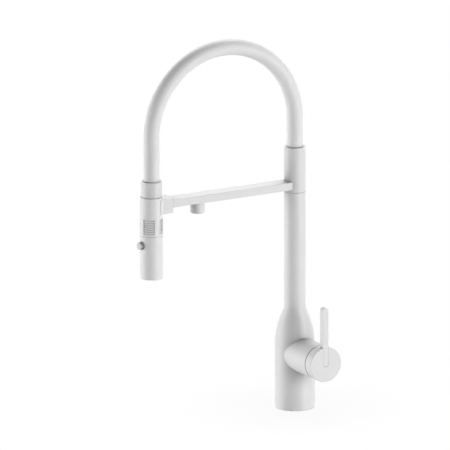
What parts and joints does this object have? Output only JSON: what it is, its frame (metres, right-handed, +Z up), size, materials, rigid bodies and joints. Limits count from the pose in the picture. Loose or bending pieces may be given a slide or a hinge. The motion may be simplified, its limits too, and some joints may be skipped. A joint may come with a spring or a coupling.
{
  "type": "kitchen mixer tap",
  "caption": "White kitchen mixer tap with bottle-shaped body, side lever, swivelling bracket arm with a second outlet, arched hose and a docked pull-off hand spray with push button.",
  "frame": {"origin": "middle of the base's underside, at the mouth of the fixing stud's hole, on the worktop", "axes": "+Z up along the riser, -Y along the bracket arm towards the hand spray, +X along the handle's axis towards the lever"},
  "size_m": [0.1066, 0.2607, 0.5065],
  "materials": {
    "white_paint": "satin white powder coat",
    "white_plastic": "satin white moulded plastic",
    "white_hose": "smooth white silicone cover",
    "brass": "turned brass",
    "steel": "stainless steel",
    "magnet": "nickel plated magnet",
    "ceramic": "lapped alumina",
    "seal_rubber": "black rubber",
    "tip_rubber": "soft grey silicone",
    "grey_plastic": "grey engineering plastic",
    "tube_plastic": "milky polyethylene",
    "inner_rubber": "braided rubber tube"
  },
  "bodies": {
    "tap_body": {"base_body": "white_paint", "riser_tube": "white_paint", "base_gasket": "seal_rubber", "inlet_block": "brass", "block_screws": "steel", "filter_tube": "tube_plastic", "cartridge_seal": "seal_rubber", "cartridge_base": "grey_plastic", "fixed_disc": "ceramic", "cartridge_housing": "grey_plastic", "cartridge_nut": "brass", "swivel_spigot": "brass", "swivel_seals": "seal_rubber", "glide_ring": "grey_plastic", "flow_spring": "steel", "hub_wiper": "seal_rubber"},
    "hub": {"handle_hub": "white_paint", "mixing_spindle": "brass", "turning_disc": "ceramic", "hub_grub_screw": "steel", "lever_pin": "steel"},
    "lever": {"lever_bar": "white_paint"},
    "plunger": {"flow_plunger": "brass"},
    "spout": {"swivel_collar": "white_paint", "collar_screw": "steel", "bracket_arm": "white_paint", "dock_block": "white_paint", "dock_pad": "white_plastic", "dock_magnet": "magnet", "dock_screw": "steel", "filter_nozzle": "white_paint", "nozzle_washer": "seal_rubber", "nozzle_aerator": "grey_plastic", "collar_nipple": "brass", "spout_hose": "white_hose", "inner_hose": "inner_rubber", "collar_grommet": "seal_rubber"},
    "hose_tip": {"hose_ferrule": "white_paint", "spray_nipple": "brass", "stub_seal": "seal_rubber", "stub_clip": "steel", "ferrule_grommet": "seal_rubber"},
    "hand_spray": {"handset_grip": "white_plastic", "spray_head": "white_plastic", "water_core": "grey_plastic", "dock_keeper": "steel", "check_valve": "grey_plastic", "spray_plate": "grey_plastic", "spray_tips": "tip_rubber", "jet_aerator": "grey_plastic", "button_spring": "steel"},
    "button": {"spray_button": "white_plastic", "button_sleeve": "tip_rubber", "diverter_spool": "grey_plastic"}
  },
  "joints": [
    {"name": "spout_swivel", "type": "hinge", "parent": "tap_body", "child": "spout", "pos_m": [0, 0, 0.2992], "axis": [0, 0, 1], "continuous": true},
    {"name": "handset_pull", "type": "slide", "parent": "spout", "child": "hose_tip", "axis": [0, -1, 0], "range_m": [0, 0.07], "deforming": ["spout_hose", "inner_hose"]},
    {"name": "handset_turn", "type": "hinge", "parent": "hose_tip", "child": "hand_spray", "pos_m": [0, -0.2155, 0.3], "axis": [0, 0, 1], "continuous": true},
    {"name": "button_press", "type": "slide", "parent": "hand_spray", "child": "button", "axis": [0, 1, 0], "range_m": [0, 0.0025], "stiffness_N_per_m": 600, "deforming": ["button_spring"]},
    {"name": "hub_turn", "type": "hinge", "parent": "tap_body", "child": "hub", "pos_m": [0.0666, 0, 0.074], "axis": [1, 0, 0], "range_deg": [-45, 45]},
    {"name": "lever_tilt", "type": "hinge", "parent": "hub", "child": "lever", "pos_m": [0.0764, 0, 0.08], "axis": [0, 1, 0], "range_deg": [0, 20]},
    {"name": "flow_slide", "type": "slide", "parent": "hub", "child": "plunger", "axis": [-1, 0, 0], "range_m": [0, 0.00158], "deforming": ["flow_spring"]}
  ],
  "couplings": [
    {"joint": "flow_slide", "follows": "lever_tilt", "m_per_rad": 0.004522}
  ]
}
